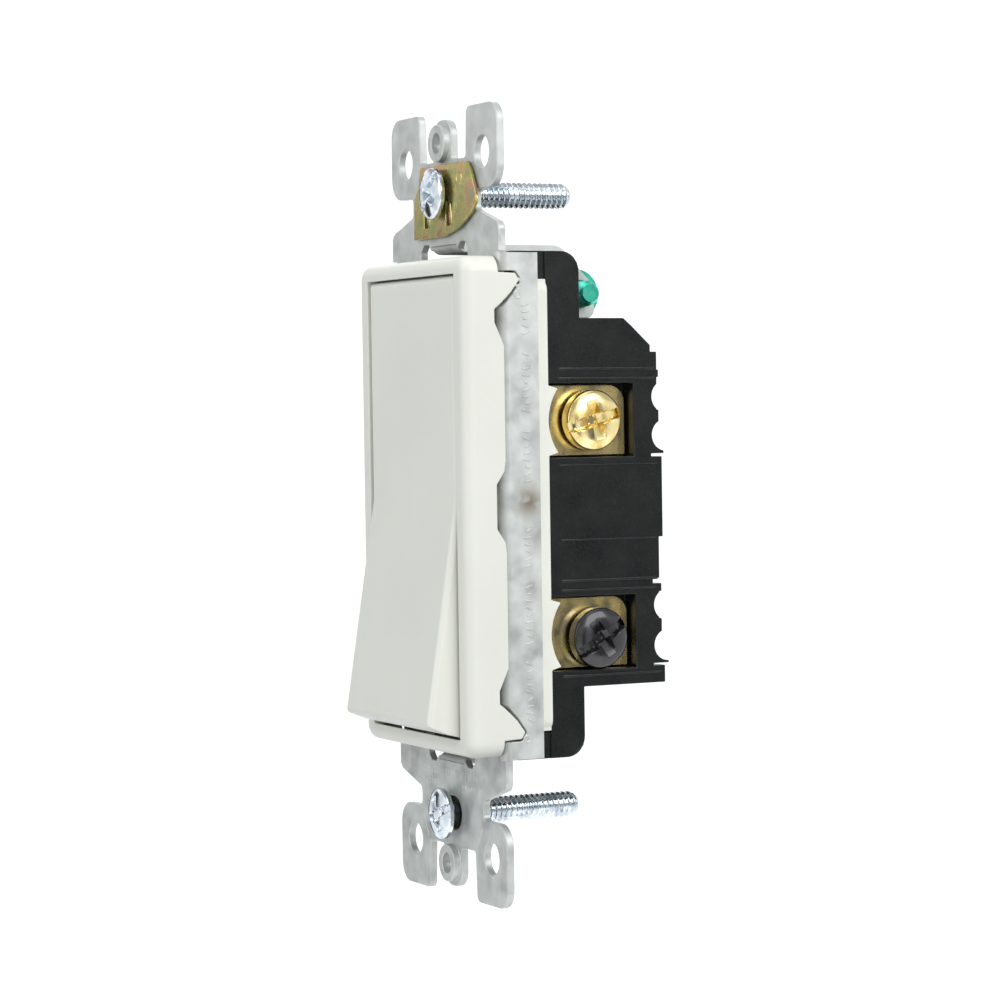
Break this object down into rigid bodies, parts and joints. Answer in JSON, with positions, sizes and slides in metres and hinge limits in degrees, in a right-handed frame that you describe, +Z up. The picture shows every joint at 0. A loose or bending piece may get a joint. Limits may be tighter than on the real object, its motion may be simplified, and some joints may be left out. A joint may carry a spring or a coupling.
{
  "type": "rocker wall switch",
  "caption": "Flush rocker wall switch on a wrap-around steel strap, with side screw terminals, a grounding screw and box mounting screws.",
  "frame": {"origin": "midway between the two wall plate screw holes and the two box screws, on the plane of the strap's back face", "axes": "+Z up along the strap, +X to the right seen from the front, +Y into the wall"},
  "size_m": [0.0334, 0.0352, 0.1056],
  "materials": {
    "galvanised_steel": "mottled galvanised sheet",
    "white_plastic": "fine satin moulding",
    "cream_nylon": "satin",
    "black_plastic": "satin phenolic with glossy scuffs",
    "brass": "polished",
    "black_oxide_steel": "oiled black oxide",
    "green_zinc_steel": "green dyed zinc",
    "zinc_steel": "bright zinc plate",
    "yellow_zinc_steel": "yellow chromate zinc",
    "spring_steel": "drawn wire",
    "copper_alloy": "rolled",
    "contact_silver": "satin silver",
    "fibre_board": "vulcanised fibre",
    "natural_nylon": "satin"
  },
  "bodies": {
    "switch_frame": {"mounting_strap": "galvanised_steel", "bezel_frame": "white_plastic", "inner_frame": "cream_nylon", "body_housing": "black_plastic", "fixed_contact_upper": "contact_silver", "fixed_contact_lower": "contact_silver", "traveller_terminal_right": "brass", "traveller_terminal_left": "brass", "common_terminal": "brass", "wire_clamp_right": "spring_steel", "wire_clamp_left": "spring_steel", "wire_clamp_common": "spring_steel", "grounding_clip": "yellow_zinc_steel"},
    "rocker": {"rocker": "white_plastic", "rocker_spring": "spring_steel"},
    "plunger": {"rocker_plunger": "natural_nylon"},
    "seesaw": {"seesaw_contact": "copper_alloy", "moving_contacts": "contact_silver"},
    "upper_washer": {"screw_washer_upper": "fibre_board"},
    "upper_box_screw": {"box_screw_upper": "zinc_steel"},
    "lower_washer": {"screw_washer_lower": "fibre_board"},
    "lower_box_screw": {"box_screw_lower": "zinc_steel"},
    "right_traveller_screw": {"traveller_screw_right": "brass"},
    "left_traveller_screw": {"traveller_screw_left": "brass"},
    "common_screw": {"common_screw": "black_oxide_steel"},
    "ground_screw": {"ground_screw": "green_zinc_steel"}
  },
  "joints": [
    {"name": "rocker_hinge", "type": "hinge", "parent": "switch_frame", "child": "rocker", "pos_m": [0, 0.0015, 0], "axis": [1, 0, 0], "range_deg": [0, 9]},
    {"name": "plunger_slide", "type": "slide", "parent": "rocker", "child": "plunger", "axis": [0, 0.9969, -0.0785], "range_m": [-0.0008, 0], "stiffness_N_per_m": 400, "springref_m": 0.004, "deforming": ["rocker_spring"]},
    {"name": "seesaw_pivot", "type": "hinge", "parent": "switch_frame", "child": "seesaw", "pos_m": [0, 0.0134, 0], "axis": [1, 0, 0], "range_deg": [-10, 0]},
    {"name": "upper_screw_float", "type": "slide", "parent": "switch_frame", "child": "upper_washer", "axis": [0, 1, 0], "range_m": [0, 0.0005]},
    {"name": "upper_screw_turn", "type": "hinge", "parent": "upper_washer", "child": "upper_box_screw", "pos_m": [0, 0, 0.04167], "axis": [0, 1, 0], "continuous": true},
    {"name": "lower_screw_float", "type": "slide", "parent": "switch_frame", "child": "lower_washer", "axis": [0, 1, 0], "range_m": [0, 0.0012]},
    {"name": "lower_screw_turn", "type": "hinge", "parent": "lower_washer", "child": "lower_box_screw", "pos_m": [0, 0, -0.04167], "axis": [0, 1, 0], "continuous": true},
    {"name": "right_traveller_screw_out", "type": "slide", "parent": "switch_frame", "child": "right_traveller_screw", "axis": [1, 0, 0], "range_m": [0, 0.003]},
    {"name": "left_traveller_screw_out", "type": "slide", "parent": "switch_frame", "child": "left_traveller_screw", "axis": [-1, 0, 0], "range_m": [0, 0.003]},
    {"name": "common_screw_out", "type": "slide", "parent": "switch_frame", "child": "common_screw", "axis": [1, 0, 0], "range_m": [0, 0.003]},
    {"name": "ground_screw_out", "type": "slide", "parent": "switch_frame", "child": "ground_screw", "axis": [-1, 0, 0], "range_m": [0, 0.0025]}
  ],
  "couplings": [
    {"joint": "seesaw_pivot", "follows": "rocker_hinge", "ratio": -1.1111}
  ]
}
